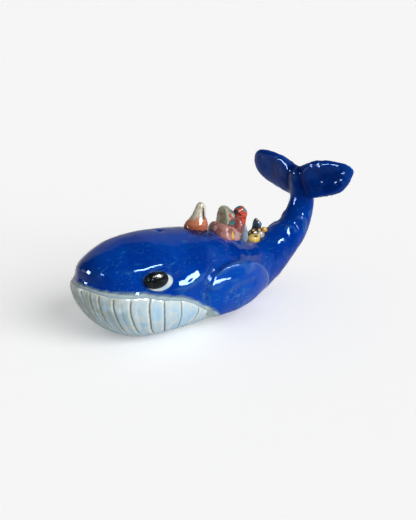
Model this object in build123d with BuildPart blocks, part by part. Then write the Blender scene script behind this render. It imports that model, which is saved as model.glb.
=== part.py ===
"""Hand-built glazed stoneware whale, with an upturned tail and small clay ornaments along its back.

Millimetres, +Z up. The whale faces -X and stands on Z = 0, and its left side is towards -Y.
Every piece of clay that was shaped by itself and then pressed on is a solid of its own.
"""

import os
from math import atan2, cos, radians, sin, tan

from build123d import *

os.makedirs("parts", exist_ok=True)

# Body sizes
body_length = 173.0
body_width = 90.0
body_height = 82.0
body_wall = 6.0

# Tail sizes: the tail leaves the body level, sweeps up a quarter ellipse and ends in a leaning stub
tail_axis_height = 33.0
tail_root_width = 53.0
tail_root_rise = 20.0
tail_root_drop = 34.0
tail_waist_width = 24.0
tail_waist_thickness = 20.0
tail_sweep_reach = 69.0
tail_sweep_rise = 52.0
tail_stub_length = 27.0
tail_lean_angle = 13.0

# Throat sizes
throat_thickness = 4.0
lip_overhang = 3.5
pleat_width = 1.3
pleat_depth = 1.2
pleats_per_side = 10
pleat_step_angle = 10.5

# Fin sizes
fin_length = 80.0
fin_chord = 46.0
fin_thickness = 18.0
fin_inset = 1.0
fin_lean_angle = 8.0

# Fluke sizes
fluke_span = 126.0
fluke_chord = 37.0
fluke_thickness = 14.0
fluke_root_rise = 12.5
fluke_tip_lift = 18.5
fluke_gap = 2.0
fluke_sweep_back = 3.5

# Eye sizes
eye_white_length = 22.5
eye_white_height = 13.5
eye_white_thickness = 6.0
eye_ball_length = 20.5
eye_ball_height = 13.5
eye_ball_thickness = 10.0

# Blowhole sizes
blowhole_radius = 2.2
blowhole_rim_radius = 4.0
blowhole_rim_depth = 1.6

# Ornament sizes: sides are measured from the middle towards the whale's right
ornament_sink = 2.0
boulder_sink = 6.0
cone_width = 20.0
cone_height = 23.5
cone_lean = 5.0
dish_length = 31.0
dish_width = 21.0
dish_height = 13.0
dish_rim_angle = 11.0
boulder_length = 18.0
boulder_width = 14.0
boulder_height = 23.0
boulder_side = 3.0
boulder_slope_angle = 38.0
boulder_slope_turn = -40.0
wedge_length = 20.0
wedge_width = 11.0
wedge_height = 13.0
wedge_side = -4.5
arm_thickness = 6.5
arm_height = 11.0
arm_lean = 1.5
knob_length = 13.0
knob_width = 10.0
knob_height = 9.5
knob_overhang = 3.5
stone_size = 7.5
stone_height = 18.0
ledge_length = 16.0
ledge_width = 11.0
ledge_height = 9.0
ledge_side = 6.0
peak_size = 12.0
peak_height = 17.0
peak_lean = 1.0
peak_side = 8.0
pad_length = 9.0
pad_width = 6.0
pad_height = 6.0
pad_side = 0.5
bead_size = 6.0
bead_height = 5.0
bead_side = 4.0
pebble_length = 12.5
pebble_width = 9.5
pebble_height = 8.0
pebble_side = -1.0

# One overrun serves all cuts
overrun = 1.0

# Places along the body, as shares of its length, and heights, as shares of its height
nose_height_share = 0.683
lip_height_share = 0.634
throat_end_share = 0.705
pleat_fan_share = 0.437
fin_place_share = 0.483
fin_height_share = 0.398
eye_place_share = 0.254
eye_height_share = 0.650
blowhole_share = 0.428
blowhole_depth_share = 0.65
cone_share = 0.652
dish_share = 0.842
boulder_share = 0.867
wedge_share = 0.884
stone_share = 0.970
pebble_share = 1.038
ledge_share = 1.075
pad_share = 1.092
peak_share = 1.106
bead_share = 1.140

nose_reach = throat_thickness + lip_overhang
overall_length = nose_reach + body_length + tail_sweep_reach + tail_waist_thickness / 2
nose_x = nose_reach - overall_length / 2
sweep_x = nose_x + body_length
tail_x = sweep_x + tail_sweep_reach
sweep_top = tail_axis_height + tail_sweep_rise
lip_height = lip_height_share * body_height
lean_up = (-sin(radians(tail_lean_angle)), 0, cos(radians(tail_lean_angle)))

# Body stations: place along the body, then half width, crest, widest line and underside
body_station_shares = [
    (0.020, 0.200, 0.805, 0.665, 0.530),
    (0.080, 0.335, 0.885, 0.600, 0.345),
    (0.164, 0.420, 0.957, 0.540, 0.170),
    (0.269, 0.478, 0.997, 0.500, 0.065),
    (0.415, 0.500, 0.990, 0.475, 0.048),
    (0.573, 0.490, 0.955, 0.460, 0.030),
    (0.737, 0.455, 0.868, 0.440, -0.018),
    (0.877, 0.378, 0.732, 0.415, -0.024),
]

# Tail stations: place along the sweep, then how much of the root's width, rise and drop is left
tail_station_shares = [
    (0.000, 1.00, 1.00, 1.00),
    (0.167, 0.82, 0.95, 0.68),
    (0.333, 0.63, 1.05, 0.35),
    (0.500, 0.44, 0.85, 0.20),
    (0.667, 0.26, 0.35, 0.15),
    (0.833, 0.10, 0.12, 0.08),
    (1.000, 0.00, 0.00, 0.00),
]
joint_share = 0.40

# Stub stations: place along the stub, then width and thickness of the waist
stub_station_shares = [(0.45, 1.00, 0.90), (1.00, 0.60, 0.50)]

# Jaw stations: place along the body, then half width, rise above the widest line, widest line, underside
jaw_station_shares = [
    (0.012, 0.120, 0.120, 0.590, 0.490),
    (0.070, 0.310, 0.300, 0.505, 0.270),
    (0.155, 0.410, 0.420, 0.435, 0.120),
    (0.262, 0.465, 0.500, 0.390, 0.046),
    (0.410, 0.490, 0.540, 0.370, 0.030),
    (0.570, 0.475, 0.540, 0.370, 0.030),
    (0.730, 0.425, 0.500, 0.370, 0.028),
]

# The lip line seen from the side: place along the throat and height
lip_shares = [
    (0.030, 0.925),
    (0.150, 0.895),
    (0.254, 0.880),
    (0.330, 0.815),
    (0.420, 0.765),
    (0.516, 0.715),
    (0.600, 0.610),
    (0.713, 0.440),
    (0.860, 0.200),
]

# Pleat heights, and how much of the slab's thickness a pleat may take
pleat_level_shares = [0.06, 0.26, 0.50, 0.76, 1.04]
pleat_depth_share = 0.45

# Fin stations: place along the fin, then spread, lift, thickness and chord
fin_station_shares = [
    (0.000, 0.980, -0.090, 0.250, 0.340),
    (0.055, 0.985, -0.080, 0.560, 0.620),
    (0.195, 1.000, -0.045, 0.920, 0.870),
    (0.375, 1.000, 0.010, 1.000, 1.000),
    (0.600, 0.975, 0.020, 0.960, 0.955),
    (0.790, 0.915, -0.010, 0.820, 0.735),
    (0.930, 0.855, -0.060, 0.600, 0.470),
    (1.000, 0.825, -0.105, 0.240, 0.200),
]

# Fluke stations: place along the fluke, then lift, thickness and chord; the right one ends blunter and lower
left_fluke_shares = [
    (0.00, 0.00, 1.00, 0.92),
    (0.23, 0.23, 0.95, 1.00),
    (0.48, 0.46, 0.84, 0.98),
    (0.69, 0.62, 0.72, 0.87),
    (0.84, 0.80, 0.60, 0.68),
    (0.94, 0.97, 0.48, 0.44),
    (1.00, 1.05, 0.28, 0.18),
]
right_fluke_shares = [
    (0.00, 0.00, 1.00, 0.92),
    (0.23, 0.18, 0.95, 1.00),
    (0.48, 0.36, 0.84, 1.00),
    (0.69, 0.48, 0.74, 0.95),
    (0.84, 0.53, 0.66, 0.82),
    (0.94, 0.52, 0.54, 0.60),
    (1.00, 0.50, 0.34, 0.32),
]

# Lump profiles: height, girth and lean of each level ring
pebble_shares = [
    (0.00, 0.80, 0),
    (0.18, 0.96, 0),
    (0.45, 1.00, 0),
    (0.72, 0.82, 0),
    (0.90, 0.52, 0),
    (1.00, 0.14, 0),
]
bell_shares = [
    (0.00, 0.94, 0.00),
    (0.12, 1.00, 0.00),
    (0.28, 0.92, 0.10),
    (0.45, 0.66, 0.40),
    (0.65, 0.50, 0.75),
    (0.86, 0.36, 1.00),
    (0.96, 0.20, 1.00),
    (1.00, 0.06, 1.00),
]
post_shares = [(0.00, 0.90, 0.00), (0.30, 1.00, 0.35), (0.65, 0.95, 0.80), (1.00, 0.80, 1.00)]
block_shares = [(0.00, 0.92), (0.25, 1.00), (0.70, 0.86), (0.93, 0.62), (1.00, 0.42)]
block_corner_share = 0.30
boulder_slope_share = 0.92
dish_shares = [(0.00, 0.72), (0.20, 0.92), (0.55, 1.00), (0.85, 0.93), (1.00, 0.78)]
dome_shares = [(0.00, 1.00), (0.42, 0.90), (0.75, 0.66), (0.94, 0.34), (1.00, 0.08)]
eye_white_shares = [(-0.60, 0.82), (-0.25, 0.97), *dome_shares]
eye_ball_shares = [(-0.50, 0.90), (-0.20, 0.98), *dome_shares]
eye_ball_forward_share = 0.15
eye_ball_lift_share = 0.20
eye_ball_out_share = 0.25
arm_place_share = 0.40
arm_rise_share = 0.45
knob_rise_share = 0.80

with BuildLine(Plane.XZ) as tail_axis:
    tail_sweep = EllipticalCenterArc(
        (sweep_x, sweep_top), tail_sweep_reach, tail_sweep_rise, start_angle=270, arc_size=90
    )


def tail_plane(share):
    """A plane across the tail's axis at a share of its sweep."""
    return Plane(origin=tail_sweep @ share, x_dir=(0, 1, 0), z_dir=tail_sweep % share)


def cross_plane(x, z):
    """A plane across the body at (x, z), facing the tail."""
    return Plane(origin=(x, 0, z), x_dir=(0, 1, 0), z_dir=(1, 0, 0))


def leaning_x(z):
    """How far back the leaning stub and the flukes are at a height."""
    return tail_x - (z - sweep_top) * tan(radians(tail_lean_angle))


def egg_section(plane, half_width, rise, drop):
    """A closed section: a half ellipse above its widest line and another below it."""
    with BuildSketch(plane) as section:
        with BuildLine():
            EllipticalCenterArc((0, 0), half_width, rise, start_angle=0, arc_size=180)
            EllipticalCenterArc((0, 0), half_width, drop, start_angle=180, arc_size=180)
        make_face()
    return section.sketch


def body_section(station, growth):
    """The body's section at a station, grown outwards."""
    place, half_width, crest, widest, underside = station
    plane = cross_plane(nose_x + place * body_length, widest * body_height)
    rise = (crest - widest) * body_height
    drop = (widest - underside) * body_height
    return egg_section(plane, half_width * body_width + growth, rise + growth, drop + growth)


def tail_section(station, growth):
    """The tail's section at a station of its sweep, between the root's sizes and the waist's."""
    place, width_left, rise_left, drop_left = station
    half_waist = tail_waist_thickness / 2
    half_width = (tail_waist_width + (tail_root_width - tail_waist_width) * width_left) / 2
    rise = half_waist + (tail_root_rise - half_waist) * rise_left
    drop = half_waist + (tail_root_drop - half_waist) * drop_left
    return egg_section(tail_plane(place), half_width + growth, rise + growth, drop + growth)


def stub_section(station):
    """The tail's section on the leaning stub between the flukes."""
    place, width_share, thickness_share = station
    z = sweep_top + place * tail_stub_length
    plane = Plane(origin=(leaning_x(z), 0, z), x_dir=(0, 1, 0), z_dir=lean_up)
    half_thickness = thickness_share * tail_waist_thickness / 2
    return egg_section(plane, width_share * tail_waist_width / 2, half_thickness, half_thickness)


def jaw_section(station):
    """The jaw's section at a station, thicker than the body by the throat slab."""
    place, half_width, rise, widest, underside = station
    plane = cross_plane(nose_x + place * body_length - throat_thickness, widest * body_height)
    drop = (widest - underside) * body_height + throat_thickness
    return egg_section(plane, half_width * body_width + throat_thickness, rise * body_height, drop)


def oval(plane, length, width):
    """An oval face on a plane."""
    with BuildSketch(plane) as face:
        Ellipse(length / 2, width / 2)
    return face.sketch


def rings(plane, length, width, height, shares, lean=0):
    """The level ovals that a lump of clay is lofted through."""
    faces = []
    for height_share, girth, *lean_share in shares:
        origin = plane.from_local_coords((lean * sum(lean_share), 0, height * height_share))
        ring_plane = Plane(origin=origin, x_dir=plane.x_dir, z_dir=plane.z_dir)
        faces.append(oval(ring_plane, girth * length, girth * width))
    return faces


# A block of floor, for pressing every piece flat underneath
with BuildPart() as floor_block:
    with Locations((0, 0, -body_height / 2)):
        Box(overall_length * 2, body_width * 2, body_height)

# The whole whale as one smooth form, before it is parted at the tail joint
with BuildPart() as whale_form:
    loft(
        [
            Vertex(nose_x, 0, nose_height_share * body_height),
            *[body_section(station, 0) for station in body_station_shares],
            *[tail_section(station, 0) for station in tail_station_shares],
            *[stub_section(station) for station in stub_station_shares],
        ]
    )
    add(floor_block.part, mode=Mode.SUBTRACT)


def back_plane(place_share, side, lift, upright):
    """A plane on the whale's back, level or lying along the back, at a share of the body's length."""
    line = Axis((nose_x + place_share * body_length, side, 0), (0, 0, 1))
    point, normal = max(whale_form.part.find_intersection_points(line), key=lambda hit: hit[0].Z)
    facing = Vector(0, 0, 1) if upright else normal
    along = Vector(1, 0, 0) - facing * facing.X
    return Plane(origin=point + facing * lift, x_dir=along, z_dir=facing)


def left_plane(place_share, height_share):
    """A plane on the whale's left side, facing outwards, with its x direction along the body."""
    line = Axis((nose_x + place_share * body_length, 0, height_share * body_height), (0, -1, 0))
    point, normal = min(whale_form.part.find_intersection_points(line), key=lambda hit: hit[0].Y)
    along = Vector(1, 0, 0) - normal * normal.X
    return Plane(origin=point, x_dir=along, z_dir=normal)


# Throat panel: a slab pressed on below the lip line, down to the floor
with BuildPart() as jaw_form:
    loft(
        [
            Vertex(nose_x - nose_reach, 0, lip_height - throat_thickness),
            *[jaw_section(station) for station in jaw_station_shares],
        ]
    )

lip_front = nose_x - nose_reach - overrun
lip_back = nose_x + throat_end_share * body_length
with BuildPart() as throat_block:
    with BuildSketch(Plane.XZ):
        with BuildLine():
            lip_points = [(nose_x + x * (lip_back - nose_x), z * lip_height) for x, z in lip_shares]
            lip_line = Spline((lip_front, lip_height), *lip_points, (lip_back, 0))
            Polyline(lip_line @ 1, (lip_front, 0), lip_line @ 0)
        make_face()
    extrude(amount=body_width, both=True)

with BuildPart() as throat_blank:
    add(jaw_form.part)
    add(throat_block.part, mode=Mode.INTERSECT)
    add(whale_form.part, mode=Mode.SUBTRACT)
throat_slab = throat_blank.part.solids().sort_by(SortBy.VOLUME)[-1]

# Throat pleats: upright cuts that fan out under the jaw, each following the slab's skin
pleat_x = nose_x + pleat_fan_share * body_length
pleat_reach = pleat_fan_share * body_length + nose_reach
pleat_spread = body_width / 2 + throat_thickness


def farthest(form, z, heading):
    """How far from the fan's middle a level line leaves a form, or nothing if it misses."""
    hits = form.part.find_intersection_points(Axis((pleat_x, 0, z), heading))
    return max([(point - Vector(pleat_x, 0, z)).dot(Vector(heading)) for point, normal in hits], default=0)


pleat_blades = []
for step in range(-pleats_per_side, pleats_per_side):
    turn = radians((step + 0.5) * pleat_step_angle)
    angle = atan2(pleat_spread * sin(turn), -pleat_reach * cos(turn))
    heading = (cos(angle), sin(angle), 0)
    edge = []
    for level_share in pleat_level_shares:
        outside = farthest(jaw_form, level_share * lip_height, heading)
        inside = farthest(whale_form, level_share * lip_height, heading)
        depth = min(pleat_depth, pleat_depth_share * (outside - inside))
        edge.append((outside - depth, level_share * lip_height))
    far = 2 * pleat_reach
    with BuildPart() as pleat_blade:
        with BuildSketch(Plane(origin=(pleat_x, 0, 0), x_dir=heading, z_dir=(sin(angle), -cos(angle), 0))):
            Polygon(*edge, (far, edge[-1][1]), (far, edge[0][1]), align=None)
        extrude(amount=pleat_width / 2, both=True)
    pleat_blades.append(pleat_blade.part)

with BuildPart() as throat_panel:
    add(throat_slab)
    add(pleat_blades, mode=Mode.SUBTRACT)

# Fins: a paddle lofted along the body, from the shoulder to a free rounded end
fin_sections = []
for place, spread, lift, thickness, chord in fin_station_shares:
    fin_x = nose_x + fin_place_share * body_length + place * fin_length
    fin_y = -spread * (body_width / 2 - fin_inset)
    fin_z = fin_height_share * body_height + lift * fin_chord
    fin_across = (0, cos(radians(fin_lean_angle)), sin(radians(fin_lean_angle)))
    fin_plane = Plane(origin=(fin_x, fin_y, fin_z), x_dir=fin_across, z_dir=(1, 0, 0))
    fin_sections.append(oval(fin_plane, thickness * fin_thickness, chord * fin_chord))

with BuildPart() as left_fin:
    loft(fin_sections)
    add(floor_block.part, mode=Mode.SUBTRACT)
    add(whale_form.part, mode=Mode.SUBTRACT)
    add(throat_slab, mode=Mode.SUBTRACT)

# Flukes: upright lobes lofted outwards from the tail
def fluke_sections(stations, side):
    """The ovals that a fluke is lofted through, towards -Y on side -1 and +Y on side 1."""
    faces = []
    for place, lift, thickness, chord in stations:
        fluke_y = side * (fluke_gap + place * (fluke_span - fluke_gap)) / 2
        fluke_z = sweep_top + fluke_root_rise + lift * fluke_tip_lift
        fluke_x = leaning_x(fluke_z) + place**2 * fluke_sweep_back
        fluke_plane = Plane(origin=(fluke_x, fluke_y, fluke_z), x_dir=lean_up, z_dir=(0, side, 0))
        faces.append(oval(fluke_plane, chord * fluke_chord, thickness * fluke_thickness))
    return faces


with BuildPart() as left_fluke:
    loft(fluke_sections(left_fluke_shares, -1))
    add(whale_form.part, mode=Mode.SUBTRACT)

with BuildPart() as right_fluke:
    loft(fluke_sections(right_fluke_shares, 1))
    add(whale_form.part, mode=Mode.SUBTRACT)

# Eyes: a white pad set into the head and a glossy dome set into the pad
eye_plane = left_plane(eye_place_share, eye_height_share)
ball_origin = eye_plane.from_local_coords(
    (
        -eye_ball_forward_share * eye_white_length,
        eye_ball_lift_share * eye_white_height,
        eye_ball_out_share * eye_white_thickness,
    )
)
ball_plane = Plane(origin=ball_origin, x_dir=eye_plane.x_dir, z_dir=eye_plane.z_dir)

with BuildPart() as left_eye_ball:
    loft(rings(ball_plane, eye_ball_length, eye_ball_height, eye_ball_thickness / 2, eye_ball_shares))

with BuildPart() as left_eye_white:
    loft(rings(eye_plane, eye_white_length, eye_white_height, eye_white_thickness / 2, eye_white_shares))
    add(left_eye_ball.part, mode=Mode.SUBTRACT)

# Front ornament: a bell-shaped peak
with BuildPart() as cone_peak:
    cone_plane = back_plane(cone_share, 0, -ornament_sink, True)
    loft(rings(cone_plane, cone_width, cone_width, cone_height, bell_shares, cone_lean))

# Middle ornament: a dish that holds a blocky boulder and a wedge, with an arm and a knob on the wedge
dish_top = dish_height - ornament_sink
dish_floor = dish_top - boulder_sink
boulder_plane = back_plane(boulder_share, boulder_side, dish_floor, True)
boulder_faces = []
for height_share, girth in block_shares:
    with BuildSketch(boulder_plane.offset(height_share * boulder_height)) as boulder_face:
        corner = girth * block_corner_share * boulder_width
        RectangleRounded(girth * boulder_length, girth * boulder_width, corner)
    boulder_faces.append(boulder_face.sketch)

slope_turn = radians(boulder_slope_turn)
slope_run = sin(radians(boulder_slope_angle))
slope_up = (slope_run * cos(slope_turn), slope_run * sin(slope_turn), cos(radians(boulder_slope_angle)))
slope_plane = Plane(origin=boulder_plane.offset(boulder_slope_share * boulder_height).origin, z_dir=slope_up)

with BuildPart() as grey_boulder:
    loft(boulder_faces)
    split(bisect_by=slope_plane, keep=Keep.BOTTOM)

with BuildPart() as red_wedge:
    wedge_plane = back_plane(wedge_share, wedge_side, dish_floor, True)
    loft(rings(wedge_plane, wedge_length, wedge_width, wedge_height, pebble_shares))
    add(grey_boulder.part, mode=Mode.SUBTRACT)

arm_local = (arm_place_share * wedge_length, 0, arm_rise_share * wedge_height)
arm_foot = wedge_plane.from_local_coords(arm_local)
with BuildPart() as red_arm:
    loft(rings(Plane(origin=arm_foot), arm_thickness, arm_thickness, arm_height, post_shares, arm_lean))
    add(grey_boulder.part, mode=Mode.SUBTRACT)
    add(red_wedge.part, mode=Mode.SUBTRACT)

with BuildPart() as red_knob:
    knob_foot = arm_foot + Vector(arm_lean - knob_overhang, 0, knob_rise_share * arm_height)
    loft(rings(Plane(origin=knob_foot), knob_length, knob_width, knob_height, pebble_shares))
    add(grey_boulder.part, mode=Mode.SUBTRACT)
    add(red_arm.part, mode=Mode.SUBTRACT)

# The dish's rim falls from its prow, at the front, towards the tail
dish_plane = back_plane(dish_share, 0, -ornament_sink, False)
prow_point = dish_plane.from_local_coords((-dish_length / 2, 0, dish_height))
level_rim = Plane(origin=prow_point, x_dir=dish_plane.x_dir, z_dir=dish_plane.z_dir)
rim_plane = level_rim.rotated((0, dish_rim_angle, 0))

with BuildPart() as pink_dish:
    loft(rings(dish_plane, dish_length, dish_width, dish_height, dish_shares))
    split(bisect_by=rim_plane, keep=Keep.BOTTOM)
    add([grey_boulder.part, red_wedge.part, red_arm.part], mode=Mode.SUBTRACT)

with BuildPart() as back_stone:
    stone_plane = back_plane(stone_share, 0, -ornament_sink, True)
    loft(rings(stone_plane, stone_size, stone_size, stone_height, pebble_shares))
    add([pink_dish.part, red_wedge.part, red_arm.part, red_knob.part], mode=Mode.SUBTRACT)

# Rear ornament: a ledge with a peak behind it, and a pad, a bead and a pebble beside them
with BuildPart() as dark_peak:
    peak_plane = back_plane(peak_share, peak_side, -ornament_sink, True)
    loft(rings(peak_plane, peak_size, peak_size, peak_height, bell_shares, -peak_lean))

with BuildPart() as yellow_pebble:
    pebble_plane = back_plane(pebble_share, pebble_side, -ornament_sink, False)
    loft(rings(pebble_plane, pebble_length, pebble_width, pebble_height, pebble_shares))

with BuildPart() as dark_ledge:
    ledge_plane = back_plane(ledge_share, ledge_side, -ornament_sink, True)
    loft(rings(ledge_plane, ledge_length, ledge_width, ledge_height, pebble_shares))
    add([dark_peak.part, yellow_pebble.part], mode=Mode.SUBTRACT)

with BuildPart() as white_pad:
    pad_plane = back_plane(pad_share, pad_side, -ornament_sink, True)
    loft(rings(pad_plane, pad_length, pad_width, pad_height, pebble_shares))
    add([dark_peak.part, yellow_pebble.part, dark_ledge.part], mode=Mode.SUBTRACT)

with BuildPart() as yellow_bead:
    bead_plane = back_plane(bead_share, bead_side, -ornament_sink, True)
    loft(rings(bead_plane, bead_size, bead_size, bead_height, pebble_shares))
    add([dark_peak.part, white_pad.part], mode=Mode.SUBTRACT)

# Right-hand twins
with BuildPart() as right_fin:
    mirror(left_fin.part, about=Plane.XZ)

with BuildPart() as right_eye_ball:
    mirror(left_eye_ball.part, about=Plane.XZ)

with BuildPart() as right_eye_white:
    mirror(left_eye_white.part, about=Plane.XZ)

# Body shell: the closed hollow body in front of the tail joint, with a seat for each piece pressed into it
joint_plane = tail_plane(joint_share)
with BuildPart() as hollow:
    loft(
        [
            *[body_section(station, -body_wall) for station in body_station_shares[1:]],
            *[tail_section(station, -body_wall) for station in tail_station_shares[:2]],
        ]
    )

seated_pieces = [
    left_eye_white,
    right_eye_white,
    left_eye_ball,
    right_eye_ball,
    cone_peak,
    pink_dish,
    back_stone,
    dark_peak,
    yellow_pebble,
    dark_ledge,
    white_pad,
    yellow_bead,
]
with BuildPart() as body_shell:
    add(whale_form.part)
    split(bisect_by=joint_plane, keep=Keep.BOTTOM)
    add(hollow.part, mode=Mode.SUBTRACT)
    with Locations(back_plane(blowhole_share, 0, 0, False)):
        sunk = (Align.CENTER, Align.CENTER, Align.MAX)
        Cylinder(blowhole_radius, blowhole_depth_share * body_wall, align=sunk, mode=Mode.SUBTRACT)
        Cone(blowhole_radius, blowhole_rim_radius, blowhole_rim_depth, align=sunk, mode=Mode.SUBTRACT)
    add([piece.part for piece in seated_pieces], mode=Mode.SUBTRACT)

with BuildPart() as tail_stock:
    add(whale_form.part)
    split(bisect_by=joint_plane, keep=Keep.TOP)

pieces = {
    "body_shell": body_shell,
    "tail_stock": tail_stock,
    "throat_panel": throat_panel,
    "left_fin": left_fin,
    "right_fin": right_fin,
    "left_fluke": left_fluke,
    "right_fluke": right_fluke,
    "left_eye_white": left_eye_white,
    "right_eye_white": right_eye_white,
    "left_eye_ball": left_eye_ball,
    "right_eye_ball": right_eye_ball,
    "cone_peak": cone_peak,
    "pink_dish": pink_dish,
    "grey_boulder": grey_boulder,
    "red_wedge": red_wedge,
    "red_arm": red_arm,
    "red_knob": red_knob,
    "back_stone": back_stone,
    "dark_ledge": dark_ledge,
    "dark_peak": dark_peak,
    "white_pad": white_pad,
    "yellow_bead": yellow_bead,
    "yellow_pebble": yellow_pebble,
}
for name, piece in pieces.items():
    piece.part.label = name
    export_step(piece.part, f"parts/{name}.step")
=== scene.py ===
"""Looks of a hand-built glazed whale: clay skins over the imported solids, glazes, studio light and camera."""

import math

import bmesh
import bpy
import numpy as np
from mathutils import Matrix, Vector, noise
from mathutils.bvhtree import BVHTree


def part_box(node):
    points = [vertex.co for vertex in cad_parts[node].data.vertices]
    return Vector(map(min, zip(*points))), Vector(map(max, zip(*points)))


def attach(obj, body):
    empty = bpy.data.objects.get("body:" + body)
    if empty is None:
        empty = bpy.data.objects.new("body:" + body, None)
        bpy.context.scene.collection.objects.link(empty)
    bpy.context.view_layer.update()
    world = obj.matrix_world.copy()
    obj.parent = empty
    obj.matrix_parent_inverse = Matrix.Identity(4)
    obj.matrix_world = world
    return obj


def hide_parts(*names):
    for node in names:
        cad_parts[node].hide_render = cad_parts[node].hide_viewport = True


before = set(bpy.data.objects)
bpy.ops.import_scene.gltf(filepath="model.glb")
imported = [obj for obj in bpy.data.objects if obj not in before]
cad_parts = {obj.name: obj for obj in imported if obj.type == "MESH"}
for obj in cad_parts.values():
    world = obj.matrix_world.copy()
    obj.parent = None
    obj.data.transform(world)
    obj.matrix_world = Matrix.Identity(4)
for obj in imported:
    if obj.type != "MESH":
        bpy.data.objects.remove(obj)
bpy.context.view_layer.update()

mm = 0.001

skin_nodes = ["body_shell", "tail_stock", "left_fluke", "right_fluke", "left_fin", "right_fin"]
eye_nodes = ["left_eye_white", "left_eye_ball", "right_eye_white", "right_eye_ball"]
red_nodes = ["red_wedge", "red_arm", "red_knob"]
ornaments = ["cone_peak", "pink_dish", "grey_boulder", *red_nodes, "back_stone",
             "dark_ledge", "dark_peak", "white_pad", "yellow_bead", "yellow_pebble"]


class Val:
    """A node's output. Arithmetic on it adds Math nodes to the same tree."""

    def __init__(self, tree, socket=None):
        self.tree = tree
        self.socket = socket

    def node(self, kind, settings=None, inputs=None, out=0):
        """Adds a node of any type: its settings are set first, then the values or links of its sockets."""
        made = self.tree.nodes.new(kind)
        for name, value in (settings or {}).items():
            setattr(made, name, value)
        for key, value in (inputs or {}).items():
            if isinstance(value, Val):
                self.tree.links.new(value.socket, made.inputs[key])
            else:
                made.inputs[key].default_value = value
        return Val(self.tree, made.outputs[out])

    def math(self, operation, *values):
        return self.node("ShaderNodeMath", {"operation": operation}, dict(enumerate(values)))

    def __add__(self, other):
        return self.math("ADD", self, other)

    def __sub__(self, other):
        return self.math("SUBTRACT", self, other)

    def __rsub__(self, other):
        return self.math("SUBTRACT", other, self)

    def __mul__(self, other):
        return self.math("MULTIPLY", self, other)

    def __truediv__(self, other):
        return self.math("DIVIDE", self, other)

    __radd__ = __add__
    __rmul__ = __mul__

    def grain(self, size, detail=2.0, shift=0.0):
        """Noise over this place, with grains of about that many millimetres, between 0 and 1."""
        moved = self
        if shift:
            moved = self.node("ShaderNodeVectorMath", {}, {0: self, 1: (shift, shift, shift)})
        inputs = {"Vector": moved, "Scale": 1 / (size * mm), "Detail": detail}
        return self.node("ShaderNodeTexNoise", {}, inputs)

    def between(self, low, high):
        """0 below low, 1 above high and a smooth step between them; low may be the larger."""
        settings = {"interpolation_type": "SMOOTHSTEP"}
        return self.node("ShaderNodeMapRange", settings, {0: self, 1: low, 2: high})

    def paint(self, under, over):
        """Colour over, laid on colour under where this mask is 1."""
        return self.node("ShaderNodeMix", {"data_type": "RGBA"}, {0: self, 6: under, 7: over}, 2)


def rgba(*screen):
    """A colour given in screen values, as the linear one that a shader takes."""
    linear = (((v / 255 + 0.055) / 1.055) ** 2.4 if v > 10 else v / 3294 for v in screen)
    return (*linear, 1)


def add(name, data):
    """A new object in the scene."""
    thing = bpy.data.objects.new(name, data)
    bpy.context.collection.objects.link(thing)
    return thing


# Clay work: places, depths and sizes are in millimetres


def settle(piece):
    """Turns a piece with its modifiers into a plain mesh."""
    graph = bpy.context.evaluated_depsgraph_get()
    mesh = bpy.data.meshes.new_from_object(piece.evaluated_get(graph), depsgraph=graph)
    piece.modifiers.clear()
    piece.data = mesh
    mesh.name = piece.name


def keep_outside(mesh):
    """Drops the wall of any closed hollow: only what is joined to the outermost point stays."""
    shape = bmesh.new()
    shape.from_mesh(mesh)
    todo = [min(shape.verts, key=lambda v: v.co.x)]
    reached = set(todo)
    while todo:
        for edge in todo.pop().link_edges:
            for vert in edge.verts:
                if vert not in reached:
                    reached.add(vert)
                    todo.append(vert)
    bmesh.ops.delete(shape, geom=[v for v in shape.verts if v not in reached], context="VERTS")
    shape.to_mesh(mesh)
    shape.free()


def lump(name, nodes, voxel, rubs):
    """A merged copy of some solids, worked together as one lump of clay and rubbed smooth."""
    merge_gap = 1e-6
    shape = bmesh.new()
    for node in nodes:
        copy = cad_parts[node].data.copy()
        copy.transform(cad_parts[node].matrix_world)
        shape.from_mesh(copy)
        bpy.data.meshes.remove(copy)
    bmesh.ops.remove_doubles(shape, verts=shape.verts, dist=merge_gap)
    mesh = bpy.data.meshes.new(name)
    shape.to_mesh(mesh)
    shape.free()
    piece = add(name, mesh)
    remesh = piece.modifiers.new("lump", "REMESH")
    remesh.mode = "VOXEL"
    remesh.voxel_size = voxel * mm
    settle(piece)
    keep_outside(piece.data)
    smooth = piece.modifiers.new("rub", "SMOOTH")
    smooth.factor = 0.5
    smooth.iterations = rubs
    refine = piece.modifiers.new("refine", "SUBSURF")
    refine.levels = 1
    refine.render_levels = 1
    settle(piece)
    piece.data.shade_smooth()
    return piece


def points(mesh):
    """Vertex places."""
    row = np.empty(len(mesh.vertices) * 3)
    mesh.vertices.foreach_get("co", row)
    return row.reshape(-1, 3) / mm


def put_points(mesh, places):
    """Sets the vertex places."""
    mesh.vertices.foreach_set("co", (places * mm).ravel())
    mesh.update()


def normals(mesh):
    """Vertex normals."""
    row = np.empty(len(mesh.vertices) * 3)
    mesh.vertex_normals.foreach_get("vector", row)
    return row.reshape(-1, 3)


def unit(heading):
    """A heading brought to a length of 1."""
    return np.array(heading, float) / np.linalg.norm(heading)


def push(mesh, depth):
    """Moves each vertex out along its normal."""
    put_points(mesh, points(mesh) + normals(mesh) * depth[:, None])


def neighbour_mean(mesh, values):
    """The mean of what each vertex's neighbours hold."""
    ends = np.empty(len(mesh.edges) * 2, int)
    mesh.edges.foreach_get("vertices", ends)
    first, second = ends.reshape(-1, 2).T
    total = np.zeros_like(values)
    count = np.bincount(ends, minlength=len(values))
    np.add.at(total, first, values[second])
    np.add.at(total, second, values[first])
    return total / count[:, None]


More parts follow.
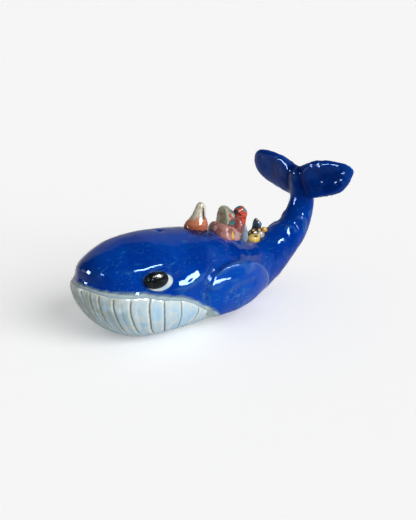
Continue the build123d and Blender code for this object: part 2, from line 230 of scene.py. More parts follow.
def rub(mesh, weight, rounds):
    """Smooths the clay where the weight is high."""
    share_a_round = 0.5
    places = points(mesh)
    for _ in range(rounds):
        places += weight[:, None] * share_a_round * (neighbour_mean(mesh, places) - places)
    put_points(mesh, places)


def step(values, low, high):
    """0 at low, 1 at high and a smooth step between them."""
    share = np.clip((values - low) / (high - low), 0, 1)
    return share * share * (3 - 2 * share)


def bell(distance, width):
    """1 at no distance, falling smoothly to 0 beyond a width."""
    return np.exp(-((distance / width) ** 2))


def wobble(places, size, seed):
    """A smooth unevenness between about -1 and 1, with bumps of about that size."""
    shift = Vector((seed * 7.3, seed * 3.1, seed * 5.7))
    return np.array([noise.noise(Vector(p) / size + shift) for p in places])


def near(places, centre, radius):
    """1 at a place, falling smoothly to 0 round it; the radius is one number or one for each axis."""
    return np.exp(-(((places - centre) / radius) ** 2).sum(1))


def along(places, path, radius):
    """1 on a path of points, falling smoothly to 0 beside it."""
    found = np.full(len(places), np.inf)
    for a, b in zip(np.array(path[:-1], float), np.array(path[1:], float)):
        share = np.clip((places - a) @ (b - a) / ((b - a) @ (b - a)), 0, 1)
        found = np.minimum(found, ((places - a - share[:, None] * (b - a)) ** 2).sum(1))
    return np.exp(-found / radius**2)


def flat(places, facing, centre, aim, radius):
    """How far to push the clay, in a patch round a place, so that it lies in a plane that faces aim."""
    least_slope = 0.4
    most_push = 2.5
    lift = (centre - places) @ unit(aim) / np.clip(facing @ unit(aim), least_slope, None)
    patch = np.exp(-((((places - centre) / radius) ** 2).sum(1) ** 2))
    return np.clip(lift, -most_push, most_push) * patch


def facet(mesh, spot, aim, radius):
    """Presses a small flat place into the clay at the vertex nearest to a spot."""
    places = points(mesh)
    centre = places[np.argmin(((places - spot) ** 2).sum(1))]
    push(mesh, flat(places, normals(mesh), centre, aim, radius))


def chop(mesh, point, facing, softness, above=-1):
    """Presses the clay almost flat beyond a plane, with a soft edge of that size, above a height."""
    pressed_share = 0.92
    fade_height = 1.5
    places = points(mesh)
    beyond = softness * np.logaddexp(0, (places - point) @ unit(facing) / softness)
    pressed = pressed_share * beyond * step(places[:, 2], above, above + fade_height)
    put_points(mesh, places - pressed[:, None] * unit(facing))


def keep_above_floor(mesh):
    """Presses flat what would reach below the surface that the whale stands on."""
    places = points(mesh)
    places[:, 2] = np.maximum(places[:, 2], 0)
    put_points(mesh, places)


def distance_to(places, *nodes):
    """How far each place is from the nearest of some solids; what lies past the reach counts as far off."""
    reach = 12
    far_off = 99.0
    found = np.full(len(places), far_off)
    for node in nodes:
        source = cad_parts[node]
        corners = [source.matrix_world @ v.co for v in source.data.vertices]
        tree = BVHTree.FromPolygons(corners, [p.vertices for p in source.data.polygons])
        low, high = (np.array(corner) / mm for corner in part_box(node))
        close = np.flatnonzero(((places > low - reach) & (places < high + reach)).all(1))
        away = [tree.find_nearest(Vector(places[i]) * mm)[3] / mm for i in close]
        found[close] = np.minimum(found[close], away)
    return found


def keep_value(mesh, name, values):
    """Stores one number for each vertex, for a glaze to read."""
    mesh.attributes.new(name, "FLOAT", "POINT").data.foreach_set("value", values.astype(np.float32))


def keep_ridges(mesh, scale):
    """Stores where the clay is proud, above 0.5, and where it is hollow, below 0.5."""
    blur_rounds = 4
    places = points(mesh)
    around = neighbour_mean(mesh, places)
    bulge = ((places - around) * normals(mesh)).sum(1)
    for _ in range(blur_rounds):
        bulge = neighbour_mean(mesh, bulge[:, None])[:, 0]
    keep_value(mesh, "ridge", np.clip(0.5 + bulge / scale, 0, 1))


def under_lip(places):
    """How far below the lip line each place is."""
    lip_x = [-129.8, -118.6, -104, -91.3, -82, -71, -59.3, -49.1, -35.3, -17.4, -0.3]
    lip_z = [52, 48.1, 46.5, 45.8, 42.4, 39.8, 37.2, 31.7, 22.9, 10.4, 0]
    return np.interp(places[:, 0], lip_x, lip_z) - places[:, 2]


# Whale skin: body, tail, flukes and fins are luted together under one glaze, which runs on under the throat

# Lines that the hand followed, on the left; the right side mirrors them
brow = [(-99, -29.5, 62.5), (-87, -33, 65), (-77, -35.1, 65.5), (-68, -37.5, 63)]
cheek = [(-62, -42.6, 52.5), (-52, -43.6, 50), (-45, -44.6, 47.5)]
fin_edge = [(-25, -41, 53.7), (-34.6, -44.5, 48.1), (-37.7, -45.7, 39.8), (-38, -46, 30.6),
            (-34.8, -46, 20.2), (-28, -44, 10)]
fin_dent = [(-17, -53.2, 30), (-11, -53.2, 33.5), (-4, -53, 35.5), (4, -52.1, 36), (11, -50.4, 35)]
fin_shoulder = [(-24, -50.2, 50), (-13.4, -50.7, 51.9), (-4, -50.4, 52.6), (8, -48.5, 52)]
fin_front = [(-36, -46, 45), (-38.5, -46, 36), (-34, -48.5, 26)]
fin_scuff_and_sheen = [(-14, -53, 30), (-4, -51.5, 25), (4, -49, 19)]
fluke_root = [(109, -4, 112), (108.5, -8, 101), (109, -11, 90)]

# Flat places: the middle of each, where it faces and how far it reaches along each axis
window_aim = (-0.23, -0.755, 0.61)
patted_flat = {
    "brow": ((-86, -33.3, 64.2), window_aim, (13, 6, 3.4)),
    "cheek": ((-56, -43.2, 50), window_aim, (18, 10, 6.6)),
    "fin front": ((-31, -48.4, 44.6), window_aim, (8, 8, 6)),
    "tail": ((92.9, -13.1, 58), window_aim, (7, 7, 4)),
    "tail root": ((78.8, -16.3, 51.8), window_aim, (4, 5, 3)),
    "tail bend": ((105.2, -13.1, 62.8), (-0.6, -0.72, 0.35), (6, 6, 8)),
    "fin shoulder": ((-10, -51.2, 50), (-0.22, -0.955, 0.2), (20, 7, 5)),
}

# Small facets that catch a lamp
facet_radius = 2.6
fluke_aim = (-0.961, -0.044, 0.273)
fluke_facets = [(109, -19, 117.6), (109, -28, 118.6), (111.4, -54.9, 115.4), (112.1, -46.4, 105.4),
                (112.6, -53, 108.4), (109.2, -33, 103), (110, 24, 117)]
nose_aim = (-0.676, -0.52, 0.522)
nose_facet = (-116.9, -17.5, 61.5)

# Single places that are rubbed, dented or swollen, with their reach
fluke_fork = (113, 0, 103)
fork_reach = (18, 14, 16)
temple = (-95, -34, 55)
temple_reach = 7
left_thumb = (110, -38, 112)
right_thumb = (110, 32, 106)
thumb_reach = (30, 17, 9)
under_stern = (33, -11, 61)
stern_reach = (8, 6, 6)
under_prow = (12, -9, 69)
prow_reach = (8, 7, 6)

skin = lump("whale_skin", [*skin_nodes, "throat_panel"], voxel=2.03, rubs=5)
clay = skin.data

# The fork of the flukes and the lip are rubbed over first
throat_end_x = -10
places = points(clay)
lip_crease = bell(under_lip(places), 5) * (places[:, 0] < throat_end_x)
rub(clay, np.maximum(near(places, fluke_fork, fork_reach), lip_crease), rounds=32)

# What each place belongs to
fluke_z = 92
stalk_half_width = 8
blade_fade = 14
places = points(clay)
facing = normals(clay)
to_left = np.where(places[:, 1:2] > 0, (1, -1, 1), 1)
folded = places * to_left
from_middle = np.abs(places[:, 1])
fluke_share = 1 / (1 + np.exp(-(places[:, 2] - fluke_z) / 2))
blade = fluke_share * np.clip((from_middle - stalk_half_width) / blade_fade, 0, 1)
blade_front = np.clip(-facing[:, 0] * 1.6 - 0.3, 0, 1) * blade
rear = step(places[:, 0], 10, 60) * (1 - blade)
fin_gap = distance_to(places, "left_fin", "right_fin")
body_gap = distance_to(places, "body_shell", "tail_stock")
fin_seam = bell(np.maximum(fin_gap, body_gap), 1.8)
fin_groove = along(folded, fin_edge, 2)
lip_gap = distance_to(places, "throat_panel")
lip_drop = under_lip(places)

# Marks of the hand: how far each one stands proud, and where it is
marks = [
    (0.6, wobble(places, 26, 1)),
    (0.25, wobble(places, 10, 2)),
    (0.3, rear * wobble(places, 6, 6)),
    (-0.9, fin_seam),
    (-1.0, fin_groove),
    (-1.5, along(folded, fin_dent, 3.2)),
    (0.8, along(folded, brow, 4.5)),
    (-0.5, near(folded, temple, temple_reach)),
    (-1.0, along(folded, fluke_root, 2.5)),
    (0.18, along(folded, cheek, 8) * wobble(places, 4, 5)),
    (-0.8, blade_front * near(places, left_thumb, thumb_reach)),
    (-1.8, blade_front * near(places, right_thumb, thumb_reach)),
    (0.9, blade * wobble(places, 15, 3)),
    (0.25, blade * wobble(places, 7, 4)),
    (-3.0, step(lip_drop, 1, 6) * bell(lip_gap, 1.5)),
    (2.0, near(places, under_stern, stern_reach)),
    (-2.2, near(places, under_prow, prow_reach)),
]
depth = sum(proud * mark for proud, mark in marks)
for centre, aim, radius in patted_flat.values():
    depth += flat(folded, facing * to_left, centre, aim, radius)
push(clay, depth)
for spot in fluke_facets:
    facet(clay, spot, fluke_aim, facet_radius)
facet(clay, nose_facet, nose_aim, facet_radius)
keep_above_floor(clay)

# What the cobalt glaze reads
skin_values = {
    "fin_seam": np.maximum(fin_seam, fin_groove),
    "fin_matt": along(folded, fin_shoulder, 6),
    # Pale scratches on the fin, partly a painted highlight
    "fin_scratch_and_sheen": np.maximum(along(folded, fin_scuff_and_sheen, 8), 0.6 * along(folded, fin_front, 4.5)),
    "fin": bell(fin_gap, 1.6) * step(from_middle, 40, 46),
    # Where the nose is painted darker, as painted shade
    "nose": step(-places[:, 0], 106, 124) * step(places[:, 2], 50, 60),
    "lip_seam": bell(lip_gap, 6),
    "lip_drop": np.clip(lip_drop, -20, 20),
    "blade": blade,
    # Painted shade in the fold at the root of the flukes
    "root_fold_shade": along(folded, fluke_root, 7) * (facing[:, 0] < 0),
    "eye_seam": bell(distance_to(places, *eye_nodes), 2.5),
    # Painted shade round the feet of the lumps
    "foot_shade": bell(distance_to(places, *ornaments), 2.6),
}
for name, values in skin_values.items():
    keep_value(clay, name, values)
keep_ridges(clay, scale=0.064)

# Throat slab: thinned towards the lip; its grooves fan out under the jaw, each cut by eye and none alike
lip_taper = 6
lip_thinning = 1.3
throat = lump("throat_slab", ["throat_panel"], voxel=1.5, rubs=8)
below_lip = under_lip(points(throat.data))
push(throat.data, -lip_thinning * np.clip(1 - below_lip / lip_taper, 0, 1) ** 2)
keep_value(throat.data, "below_lip", below_lip * mm)


def pleat_tree():
    """Geometry nodes that press a fan of grooves into the throat and plump up the clay between them."""
    tree = bpy.data.node_groups.new("throat_pleats", "GeometryNodeTree")
    sockets = tree.interface
    sockets.new_socket("Geometry", in_out="OUTPUT", socket_type="NodeSocketGeometry")
    sockets.new_socket("Geometry", in_out="INPUT", socket_type="NodeSocketGeometry")
    for name in ("Fan middle", "Reach", "Spread", "Step angle", "Depth", "Half width", "Plumpness"):
        sockets.new_socket(name, in_out="INPUT", socket_type="NodeSocketFloat")
    sockets.new_socket("Seed", in_out="INPUT", socket_type="NodeSocketInt")
    sockets.new_socket("Glaze", in_out="INPUT", socket_type="NodeSocketMaterial")
    given = tree.nodes.new("NodeGroupInput")
    ask = {socket.name: Val(tree, socket) for socket in given.outputs if socket.name}

    # Which groove is nearest, counted round an oval fan that sways a little
    start = Val(tree)
    place = start.node("GeometryNodeInputPosition")
    x, y, z = (start.node("ShaderNodeSeparateXYZ", {}, {0: place}, axis) for axis in range(3))
    turn = start.math("ARCTAN2", y / ask["Spread"], (ask["Fan middle"] - x) / ask["Reach"])
    sway = place.grain(30) * 0.36 - 0.18
    count = turn / ask["Step angle"] + 0.5 + sway
    groove = count.math("ROUND", count)

    def chance(low, high, extra):
        """A number that stays the same along one groove."""
        return start.node("FunctionNodeRandomValue", {"data_type": "FLOAT"},
                          {2: low, 3: high, "ID": groove, "Seed": ask["Seed"] + extra}, 1)

    # How far away it is, across the slab
    off = count - groove + chance(-0.16, 0.16, 1)
    long_side = ask["Reach"] * start.math("SINE", turn)
    short_side = ask["Spread"] * start.math("COSINE", turn)
    scale = start.math("SQRT", long_side * long_side + short_side * short_side) * ask["Step angle"]
    across = off * scale
    widths = across / ask["Half width"]
    profile = start.math("EXPONENT", widths * widths * -1)

    # Each groove starts below the lip, runs out above the floor and has its own strength
    below = start.node("GeometryNodeInputNamedAttribute", {"data_type": "FLOAT"}, {"Name": "below_lip"})
    top = below / chance(2 * mm, 6 * mm, 2)
    bottom = z / chance(3 * mm, 9 * mm, 3)
    strength = top.between(0.3, 1) * bottom.between(0, 0.6) * chance(0.55, 1.25, 4)
    plump = (1 - off * off * 4) * top.between(0, 2)
    amount = plump * ask["Plumpness"] - profile * strength * ask["Depth"]
    normal = start.node("GeometryNodeInputNormal")
    offset = normal.node("ShaderNodeVectorMath", {"operation": "SCALE"}, {0: normal, "Scale": amount})
    moved = start.node("GeometryNodeSetPosition", {}, {"Geometry": ask["Geometry"], "Offset": offset})
    for name, value in (("groove", strength), ("across", across)):
        moved = start.node("GeometryNodeStoreNamedAttribute", {"data_type": "FLOAT", "domain": "POINT"},
                           {"Geometry": moved, "Name": name, "Value": value})
    whole = start.node("GeometryNodeRealizeInstances", {}, {0: moved})
    glazed = start.node("GeometryNodeSetMaterial", {}, {"Geometry": whole, "Material": ask["Glaze"]})
    tree.links.new(glazed.socket, tree.nodes.new("NodeGroupOutput").inputs[0])
    return tree


def press_pleats(piece, material):
    """Cuts the pleats into the throat slab and makes the result a plain mesh."""
    sizes = {
        "Fan middle": -46.65 * mm,
        "Reach": 83 * mm,
        "Spread": 49 * mm,
        "Step angle": math.radians(10.5),
        "Depth": 1.4 * mm,
        "Half width": 0.8 * mm,
        "Plumpness": 0.5 * mm,
        "Seed": 4,
        "Glaze": material,
    }
    pleats = piece.modifiers.new("pleats", "NODES")
    pleats.node_group = pleat_tree()
    for socket in pleats.node_group.interface.items_tree:
        if socket.name in sizes:
            pleats[socket.identifier] = sizes[socket.name]
    settle(piece)
    keep_above_floor(piece.data)
    piece.data.shade_smooth()


# Eyes and ornaments
small_voxel = 0.7
single_stones = [node for node in ornaments if node not in red_nodes]
eyes = {node: lump(node + "_clay", [node], small_voxel, rubs=4) for node in eye_nodes}
stones = {node: lump(node + "_clay", [node], small_voxel, rubs=4) for node in single_stones}
stones["red_curl"] = lump("red_curl_clay", red_nodes, small_voxel, rubs=6)


def shape_curl(clay):
    """The red lumps are one curl: a wedge patted flat, an arm and a lumpy knob, trimmed above and below."""
    wedge_middle = (27.6, -8.3, 73.6)
    wedge_aim = (-0.55, -0.65, 0.52)
    wedge_reach = (9, 6, 5)
    knob_middle = (36.7, -4.5, 84)
    knob_reach = (7, 6, 5)
    knob_top = (36.7, -4.5, 87.6)
    knob_underside = (34.6, -4.2, 81.6)
    arm_top = 78.6
    push(clay, flat(points(clay), normals(clay), wedge_middle, wedge_aim, wedge_reach))
    places = points(clay)
    lumps = 0.8 * near(places, knob_middle, knob_reach) * wobble(places, 4.5, 9)
    crook_fill = 1.2 * near(places, (35.5, -5, 78.3), 2.4)
    arm_swell = 1.1 * near(places, (39.5, -7.8, 79.5), 2.6)
    neck_dent = 0.9 * near(places, (36, -9.5, 82.2), 1.8)
    push(clay, lumps + crook_fill + arm_swell - neck_dent)
    chop(clay, knob_top, (-0.2, -0.1, 0.97), softness=0.4)
    chop(clay, knob_underside, (-0.62, -0.05, -0.78), softness=0.4, above=arm_top)


def shape_boat(clay):
    """The dish is a boat with a low, wide prow and a hull that is full on the left and sags there."""
    middle_x = 25
    tilt = 0.15
    prow_start_x = 24
    prow_end_x = 14
    hull_side = np.array((-0.5, -0.86, -0.1))
    fullness = 1.5
    sag = 3.5 * np.array((-0.3, -0.75, -0.6))
    places = points(clay)
    prow = step(-places[:, 0], -prow_start_x, -prow_end_x)
    places[:, 2] += tilt * (places[:, 0] - middle_x)
    places[:, 1] *= 1 + 0.6 * prow
    places[:, 0] -= 1.2 * prow
    put_points(clay, places)
    hull = np.clip(normals(clay) @ hull_side, 0, 1)
    push(clay, fullness * hull)
    places = points(clay)
    waterline = 71 - 0.36 * (places[:, 0] - 11)
    low = step(waterline - places[:, 2], -1.5, 2.5)
    put_points(clay, places + (hull * low)[:, None] * sag)
    rub(clay, np.ones(len(places)), rounds=14)


def shape_boulder(clay):
    """The boulder is cut by three planes: two meet in an upright edge, and the third slopes behind them."""
    edge = (23.9, -1.4, 82.2)
    slope = (26.5, 4.5, 88.5)
    chop(clay, edge, (-0.91, -0.35, 0.22), softness=0.2)
    chop(clay, edge, (-0.13, -0.92, 0.37), softness=0.2)
    chop(clay, slope, (0.34, -0.47, 0.81), softness=0.3)


peak_tip = (69.5, 4.2, 64)
pebble_top = (57, -1, 57)
glaze_thickness = 0.25
shape_curl(stones["red_curl"].data)
shape_boat(stones["pink_dish"].data)
peak = stones["dark_peak"].data
push(peak, 2.6 * near(points(peak), peak_tip, 3))
chop(stones["yellow_pebble"].data, pebble_top, (-0.15, -0.2, 0.97), softness=0.5)
for number, piece in enumerate(stones.values()):
    places = points(piece.data)
    dents = 0.35 * wobble(places, 7, number + 10) + 0.12 * wobble(places, 3, number + 30)
    push(piece.data, glaze_thickness + dents)
shape_boulder(stones["grey_boulder"].data)


# Glazes


def glaze(name, recipe, specular=0.35, tint=(1, 1, 1)):
    """A glossy glaze. Its recipe takes a start and the place, and gives colour, roughness and bump height."""
    material = bpy.data.materials.new(name)
    material.use_nodes = True
    tree = material.node_tree
    shader = tree.nodes["Principled BSDF"]
    start = Val(tree)
    place = start.node("ShaderNodeTexCoord", out="Object")
    colour, roughness, height = recipe(start, place)
    bump = start.node("ShaderNodeBump", {}, {"Strength": 1.0, "Distance": mm, "Height": height})
    for key, value in (("Base Color", colour), ("Roughness", roughness), ("Normal", bump)):
        tree.links.new(value.socket, shader.inputs[key])
    shader.inputs["Specular IOR Level"].default_value = specular
    shader.inputs["Specular Tint"].default_value = (*tint, 1)
    return material


def stored(start, name):
    """A number that the clay work kept for each vertex."""
    return start.node("ShaderNodeAttribute", {"attribute_name": name}, out="Fac")


def dab(place, centre, radius):
    """The mask of a ragged brush dab, whose centre and radius are in millimetres."""
    point = [c * mm for c in centre]
    away = place.node("ShaderNodeVectorMath", {"operation": "DISTANCE"}, {0: place, 1: point}, 1)
    ragged = (place.grain(3.2, 3, centre[0]) - 0.5) * (radius * 1.5 * mm)
    return (away + ragged).between(radius * 1.15 * mm, radius * 0.8 * mm)


def cobalt(start, place):
    """Deep blue, brushed on in coats, thin and greenish where it drew back from a seam."""
    stroke = place.node("ShaderNodeMapping", {}, {"Vector": place, "Scale": (0.22, 1, 1)})
    ridge = stored(start, "ridge")
    blade = stored(start, "blade")

    # Cloudy coats over the body; the fins are painted lighter, and the nose darker as painted shade
    colour = place.grain(30, 3).between(0.35, 0.68).paint(rgba(1, 46, 138), rgba(3, 60, 156))
    colour = (stored(start, "fin") * 0.6).paint(colour, rgba(4, 74, 178))
    nose = stored(start, "nose") * place.grain(20, 2, 7.1).between(0.3, 0.55)
    colour = (nose * 0.6).paint(colour, rgba(1, 30, 98))

    # Brush streaks, flecks and pinholes
    streaks = stroke.grain(2.4, 6).between(0.54, 0.74) * place.grain(15, 2, 0.3).between(0.42, 0.62)
    colour = (streaks * 0.7).paint(colour, rgba(34, 110, 156))
    flecks = place.grain(1.1, 3, 4.1).between(0.6, 0.72) * place.grain(24, 2, 4.7).between(0.45, 0.6)
    colour = (flecks * 0.45).paint(colour, rgba(60, 130, 156))
    pinholes = place.node("ShaderNodeTexVoronoi", {}, {"Vector": place, "Scale": 1 / (5.5 * mm)})
    colour = (pinholes.between(0.07, 0.03) * 0.5).paint(colour, rgba(120, 160, 190))

    # Worn places: the fin's seam and scratches, whose pale strokes along its front edge and below its dent are
    # partly a painted highlight, the lip and the rim of the eye
    seam = stored(start, "fin_seam").between(0.25, 0.95) * stroke.grain(2.2, 4, 0.7).between(0.3, 0.62)
    colour = (seam * 0.25).paint(colour, rgba(70, 112, 150))
    scratch_and_sheen = stored(start, "fin_scratch_and_sheen").between(0.15, 0.9) * stroke.grain(1.1, 5, 3.3).between(0.46, 0.7)
    colour = (scratch_and_sheen * 0.42).paint(colour, rgba(104, 160, 190))
    lip = stored(start, "lip_drop") + (stroke.grain(3.6, 3, 0.9) - 0.5) * 4
    beside_lip = stored(start, "lip_seam").between(0.2, 0.6)
    colour = (lip.between(-3.6, -0.6) * beside_lip * 0.75).paint(colour, rgba(120, 146, 150))
    colour = (lip.between(-1.4, 0.4) * beside_lip * 0.85).paint(colour, rgba(184, 198, 192))
    eye = stored(start, "eye_seam").between(0.5, 1.0) * place.grain(3, 3).between(0.35, 0.65)
    colour = (eye * 0.4).paint(colour, rgba(90, 130, 175))

    # Painted shade and a painted dark reflection of the cone round its foot, painted shade at the feet of the
    # other lumps, and glaze drawn thin on ridges
    cone_shade_and_reflection = dab(place, (-14, -6, 75.5), 13.5)
    colour = (cone_shade_and_reflection * 0.85).paint(colour, rgba(2, 18, 66))
    foot = stored(start, "foot_shade").between(0.35, 1)
    colour = (foot * 0.75).paint(colour, rgba(10, 20, 48))
    colour = (ridge.between(0.7, 1.0) * 0.35).paint(colour, rgba(60, 110, 165))

    # Flukes: a darker navy that is partly painted shade, a painted highlight on the rim, and painted shade
    # darkest in the fold at the root
    navy = place.grain(14, 3, 5.1).between(0.4, 0.65).paint(rgba(1, 40, 112), rgba(5, 60, 150))
    colour = (blade * 0.8).paint(colour, navy)
    colour = (blade * ridge.between(0.55, 0.85) * 0.6).paint(colour, rgba(6, 64, 160))
    colour = (stored(start, "root_fold_shade") * 0.75).paint(colour, rgba(0, 16, 78))

    # Pale patches painted beside the back stone
    pale_patches = dab(place, (44.5, -5, 60), 4.5) + dab(place, (48.5, -6.5, 55), 3.5) * 0.6
    colour = (pale_patches * place.grain(3, 3, 6.1).between(0.3, 0.6) * 0.7).paint(colour, rgba(150, 172, 204))

    matt = stored(start, "fin_matt") * place.grain(4, 3, 3.7).between(0.3, 0.6)
    roughness = place.grain(12, 2, 1.7) * 0.03 + 0.008 + matt * 0.2
    height = place.grain(16, 1, 2.1) * 0.45 + place.grain(5, 1, 2.9) * 0.04
    return colour, roughness, height


def throat_blue(start, place):
    """Pale blue over cream slip, blue where it pooled; cream beside the grooves, partly a painted highlight,
    and dark lines in them, partly painted shade.
    """
    drawn = place.node("ShaderNodeMapping", {}, {"Vector": place, "Scale": (1, 1, 0.3)})
    lip = stored(start, "below_lip")
    groove = stored(start, "groove")
    across = stored(start, "across")
    away = across.math("ABSOLUTE", across) + (place.grain(3, 3) - 0.5) * (0.8 * mm)

    # Blues that run together
    colour = place.grain(7, 4, 0.4).between(0.36, 0.66).paint(rgba(192, 207, 210), rgba(172, 199, 213))
    colour = (place.grain(13, 3, 0.6).between(0.4, 0.58) * 0.8).paint(colour, rgba(152, 192, 220))

    # Cream in runs and below the lip, and beside the grooves, where it is partly a painted highlight
    runs = drawn.grain(5, 3, 1.1).between(0.52, 0.7)
    banks = away.between(2.6 * mm, 1.2 * mm) * groove
    below = (lip + (place.grain(9, 3, 1.4) - 0.5) * (12 * mm)).between(12 * mm, 2 * mm)
    colour = (runs * 0.3 + banks * 0.7 + below * 0.5).paint(colour, rgba(208, 217, 212))

    # Dark lines in the grooves, partly painted shade, a cream lip and a greyer nose
    line = away.between(1.1 * mm, 0.3 * mm) * groove.between(0.1, 0.8)
    colour = (line * 0.8).paint(colour, rgba(80, 100, 118))
    edge = (lip + (drawn.grain(4, 3, 1.9) - 0.5) * (4 * mm)).between(4 * mm, 0.5 * mm)
    colour = (edge * 0.9).paint(colour, rgba(216, 222, 208))
    nose = start.node("ShaderNodeSeparateXYZ", {}, {0: place}).between(-85 * mm, -125 * mm)
    colour = (nose * place.grain(8, 3, 2.6).between(0.3, 0.6) * 0.6).paint(colour, rgba(146, 150, 132))

    roughness = place.grain(9, 2, 1.2) * 0.12 + 0.08
    height = place.grain(6, 2, 2.2) * 0.35 + drawn.grain(1.6, 3, 2.7) * 0.08
    return colour, roughness, height


def eye_white(start, place):
    """Cream white with a breath of blue."""
    colour = place.grain(5, 3).between(0.35, 0.7).paint(rgba(206, 212, 204), rgba(168, 192, 208))
    return colour, place.grain(4) * 0.1 + 0.08, place.grain(4, 2, 1.3) * 0.3


def eye_black(start, place):
    """Black glaze with a faint grey bloom."""
    colour = place.grain(6, 3).between(0.45, 0.75).paint(rgba(7, 12, 16), rgba(30, 40, 46))
    return colour, place.grain(5) * 0.16 + 0.12, place.grain(5, 2, 1.3) * 0.9


def speckled(under, over, dark, dabs=(), size=5, dull=0.08):
    """A recipe for a small lump: two tones that run together, painted shade in the dents and a painted
    highlight on the ridges, with dabs of other tones.
    """
    bright = [min(tone + 34, 255) for tone in over]

    def recipe(start, place):
        ridge = stored(start, "ridge")
        colour = place.grain(size, 3).between(0.38, 0.64).paint(rgba(*under), rgba(*over))
        # Painted shade in the dents, then a painted highlight on the ridges
        colour = (ridge.between(0.5, 0.2) * 0.7).paint(colour, rgba(*dark))
        colour = (ridge.between(0.62, 0.95) * 0.5).paint(colour, rgba(*bright))
        for centre, radius, tone in dabs:
            colour = dab(place, centre, radius).paint(colour, rgba(*tone))
        return colour, place.grain(3) * 0.14 + dull, place.grain(3, 2, 1.3) * 0.4

    return recipe


def cone_cream(start, place):
    """Cream that ran down over a rust-red foot with a dark hem, and one dark drip."""
    z = start.node("ShaderNodeSeparateXYZ", {}, {0: place}, 2) + (place.grain(5, 3) - 0.5) * (7 * mm)
    colour = place.grain(4, 3, 0.5).between(0.4, 0.7).paint(rgba(214, 208, 190), rgba(182, 170, 150))
    colour = (z.between(86.5 * mm, 82.5 * mm) * 0.9).paint(colour, rgba(190, 106, 68))
    colour = z.between(81.5 * mm, 78.5 * mm).paint(colour, rgba(162, 88, 64))
    colour = z.between(76.5 * mm, 74.8 * mm).paint(colour, rgba(70, 50, 56))
    for drop in range(14):
        drip = dab(place, (-4.4 - drop * 0.12, -4.6 - drop * 0.16, 98 - drop), 1.5)
        colour = (drip * 0.9).paint(colour, rgba(62, 54, 66))
    return colour, place.grain(3) * 0.12 + 0.08, place.grain(3, 2, 1.3) * 0.3


# Each lump's slot and recipe; a dab has its place, its radius and its tone
stone_glazes = {
    "cone_peak": ("cone_glaze", cone_cream),
    "pink_dish": ("pink_glaze", speckled((132, 80, 75), (168, 118, 110), (70, 42, 40), [
        ((20.2, -12.4, 66), 2.9, (214, 176, 92)),
        # Painted highlight: a pale dab on the hull
        ((27.5, -12.2, 65.2), 3.6, (172, 144, 140)),
        # Painted highlight: a pale dab on the prow
        ((11.4, -2.5, 72.4), 2.4, (206, 176, 168)),
    ], dull=0.24)),
    "grey_boulder": ("grey_glaze", speckled((132, 130, 110), (160, 158, 140), (76, 72, 62), [
        ((27.4, -3.2, 80.6), 2.0, (186, 74, 50)),
        ((20.1, 3.1, 82.3), 1.8, (150, 70, 50)),
        ((32, -3, 80), 3.4, (178, 184, 186)),
    ])),
    "red_curl": ("red_glaze", speckled((118, 62, 58), (146, 82, 74), (56, 30, 34), [
        ((36.7, -4.5, 84), 6.4, (184, 74, 54)),
        ((38.5, -7, 79.5), 3.6, (200, 76, 54)),
        ((38, -7, 75.5), 3.2, (192, 72, 54)),
        ((37.8, -7.4, 72), 2.6, (176, 70, 56)),
        ((25.6, -6.6, 75.4), 2.7, (58, 116, 120)),
        ((31, -9.2, 70.8), 2.3, (84, 134, 186)),
        ((34.6, -3.8, 87.8), 3.3, (54, 108, 112)),
        ((38.6, -9, 85.2), 1.7, (74, 130, 140)),
        ((31.4, -5.6, 84.2), 2.2, (40, 72, 82)),
    ])),
    "back_stone": ("stone_glaze", speckled((96, 116, 136), (150, 166, 178), (40, 50, 66), [
        ((44, -4, 57.5), 5, (134, 150, 168)),
    ])),
    "dark_ledge": ("dark_glaze", speckled((30, 30, 40), (58, 54, 58), (14, 16, 26), [
        ((61.6, 4.1, 60), 1.5, (200, 164, 86)),
        ((57.5, 5, 58.5), 1.1, (190, 150, 84)),
    ])),
    "dark_peak": ("dark_glaze", speckled((26, 28, 42), (54, 50, 58), (14, 16, 26), [
        ((65.4, 7, 64.3), 2.2, (34, 84, 104)),
        ((69.6, 2.2, 65), 2.2, (54, 122, 190)),
        ((68.4, 3.2, 59), 1.4, (200, 164, 86)),
    ])),
    "white_pad": ("white_glaze", speckled((196, 190, 184), (150, 142, 138), (52, 48, 54), size=3)),
    "yellow_bead": ("yellow_glaze", speckled((214, 172, 76), (186, 142, 60), (84, 66, 40), size=3)),
    "yellow_pebble": ("yellow_glaze", speckled((208, 168, 66), (218, 188, 108), (112, 82, 38), [
        ((57.2, -4.3, 57.3), 1.8, (70, 110, 84)),
    ])),
}


def dress(piece, material, slot, *nodes):
    """Glazes a piece, sets it on the part and hides the solids that it stands for."""
    piece.data.materials.clear()
    piece.data.materials.append(material)
    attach(piece, "root")
    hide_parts(*nodes)


cobalt_paint = glaze("cobalt_glaze", cobalt, specular=0.18, tint=(0.3, 0.5, 1))
dress(skin, cobalt_paint, "cobalt_glaze", *skin_nodes)
throat_paint = glaze("throat_glaze", throat_blue)
press_pleats(throat, throat_paint)
dress(throat, throat_paint, "throat_glaze", "throat_panel")
white_paint = glaze("eye_white_glaze", eye_white)
black_paint = glaze("eye_black_glaze", eye_black, specular=0.2)
for node, piece in eyes.items():
    if node.endswith("white"):
        dress(piece, white_paint, "eye_white_glaze", node)
    else:
        dress(piece, black_paint, "eye_black_glaze", node)
stone_shine = 0.25
dish_shine = 0.1
for name, piece in stones.items():
    slot, recipe = stone_glazes[name]
    shine = dish_shine if name == "pink_dish" else stone_shine
    stood_for = red_nodes if name == "red_curl" else [name]
    keep_ridges(piece.data, scale=0.03)
    dress(piece, glaze(name + "_glaze", recipe, shine), slot, *stood_for)


# Studio: a pale floor and far wall, soft light from the whale's left, and bright panels that the gloss shows


def ray(start, kind):
    """1 for rays of a kind, 0 for others."""
    return start.node("ShaderNodeLightPath", out=kind)


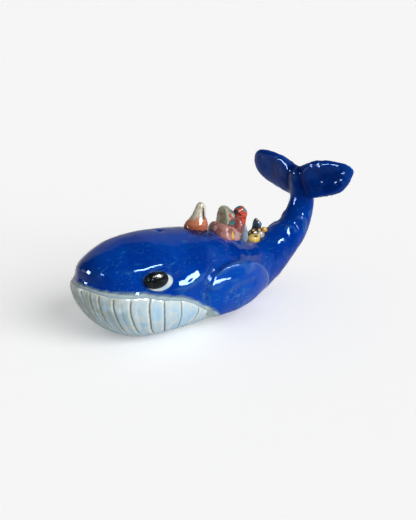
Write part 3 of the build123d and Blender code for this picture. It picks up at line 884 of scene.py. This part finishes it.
def lay_floor():
    """A wide pale floor, a little brighter to the camera, so that it runs into the backdrop."""
    reach = 40
    tone = 0.93
    camera_glow = 0.27
    mesh = bpy.data.meshes.new("floor")
    corners = [(-reach, -reach, 0), (reach, -reach, 0), (reach, reach, 0), (-reach, reach, 0)]
    mesh.from_pydata(corners, [], [(0, 1, 2, 3)])
    material = bpy.data.materials.new("pale_floor")
    material.use_nodes = True
    tree = material.node_tree
    shader = tree.nodes["Principled BSDF"]
    shader.inputs["Base Color"].default_value = (tone, tone, tone, 1)
    shader.inputs["Roughness"].default_value = 1
    shader.inputs["Specular IOR Level"].default_value = 0
    shader.inputs["Emission Strength"].default_value = 1
    glow = ray(Val(tree), "Is Camera Ray") * camera_glow
    tree.links.new(glow.socket, shader.inputs["Emission Color"])
    mesh.materials.append(material)
    floor = add("floor", mesh)


def hang_backdrop():
    """A pale backdrop. The gloss shows two pale walls of a dim room, and other rays meet an even fill."""
    backdrop_level = 0.92
    fill_level = 0.32
    wall_level = 0.4
    room_level = 0.03
    far_wall_heading = (0.61, 0.73, 0.1)
    side_wall_heading = (0.97, -0.22, 0.1)
    world = bpy.data.worlds.new("studio")
    bpy.context.scene.world = world
    world.use_nodes = True
    start = Val(world.node_tree)
    heading = start.node("ShaderNodeTexCoord", out="Generated")

    def towards(direction):
        """How nearly a ray heads in a direction."""
        return start.node("ShaderNodeVectorMath", {"operation": "DOT_PRODUCT"}, {0: heading, 1: direction}, 1)

    uneven = (heading.grain(300, 2) - 0.5) * 0.5
    far_wall = (towards(far_wall_heading) + uneven).between(0.62, 0.64)
    side_wall = (towards(side_wall_heading) + uneven * 0.4).between(0.86, 0.9)
    seen = start.math("MAXIMUM", ray(start, "Is Camera Ray"), ray(start, "Is Transmission Ray"))
    gloss = ray(start, "Is Glossy Ray")
    room = gloss * (far_wall * wall_level + side_wall * wall_level + room_level) + (1 - gloss) * fill_level
    level = seen * backdrop_level + (1 - seen) * room
    world.node_tree.links.new(level.socket, world.node_tree.nodes["Background"].inputs["Color"])


def soft_sun(name, heading, energy, angle):
    """Wide, even light that colours the clay and stays out of the gloss."""
    sun = bpy.data.lights.new(name, "SUN")
    sun.energy = energy
    sun.angle = math.radians(angle)
    holder = add(name, sun)
    holder.visible_glossy = False
    holder.rotation_euler = Vector(heading).to_track_quat("-Z", "Y").to_euler()


def panel(name, heading, distance, width, height, energy):
    """A bright panel that shows in the gloss and doesn't light the colours under it; metres and watts."""
    light = bpy.data.lights.new(name, "AREA")
    light.shape = "RECTANGLE"
    light.size = width
    light.size_y = height
    light.energy = energy
    holder = add(name, light)
    holder.location = Vector(heading).normalized() * distance
    holder.rotation_euler = (-Vector(heading)).to_track_quat("-Z", "Y").to_euler()
    holder.visible_diffuse = False


def set_camera():
    """The camera at the photograph's place; the focal length is worked out in the photograph's pixels."""
    turn = math.radians(50)
    rise = math.radians(18)
    distance = 700
    target = Vector((2.2, -1.9, 45)) * mm
    focal_pixels = 805
    frame_pixels = 416
    away = Vector((-math.cos(rise) * math.cos(turn), -math.cos(rise) * math.sin(turn), math.sin(rise)))
    lens = bpy.data.cameras.new("camera")
    lens.sensor_fit = "HORIZONTAL"
    lens.sensor_width = 36
    lens.lens = focal_pixels / frame_pixels * lens.sensor_width
    camera = add("camera", lens)
    camera.location = target + away * distance * mm
    camera.rotation_euler = (-away).to_track_quat("-Z", "Y").to_euler()
    bpy.context.scene.camera = camera


lay_floor()
hang_backdrop()
soft_sun("soft_side", heading=(-0.15, 0.87, -0.44), energy=2.67, angle=50)
panel("window", (0.2, -0.6, 0.77), distance=1.3, width=0.8, height=0.2, energy=75)
panel("dim_window", (0.09, -0.92, 0.34), distance=1.3, width=0.3, height=0.3, energy=0.2)
panel("far_window", (-0.65, 0.76, 0.1), distance=1.5, width=0.3, height=0.2, energy=0.5)
panel("far_lamp", (-0.76, 0.58, 0.22), distance=1.5, width=0.3, height=0.3, energy=18)
panel("small_lamp", (-0.75, -0.18, 0.64), distance=1.3, width=0.12, height=0.12, energy=2)
set_camera()
bpy.context.scene.view_settings.view_transform = "Standard"
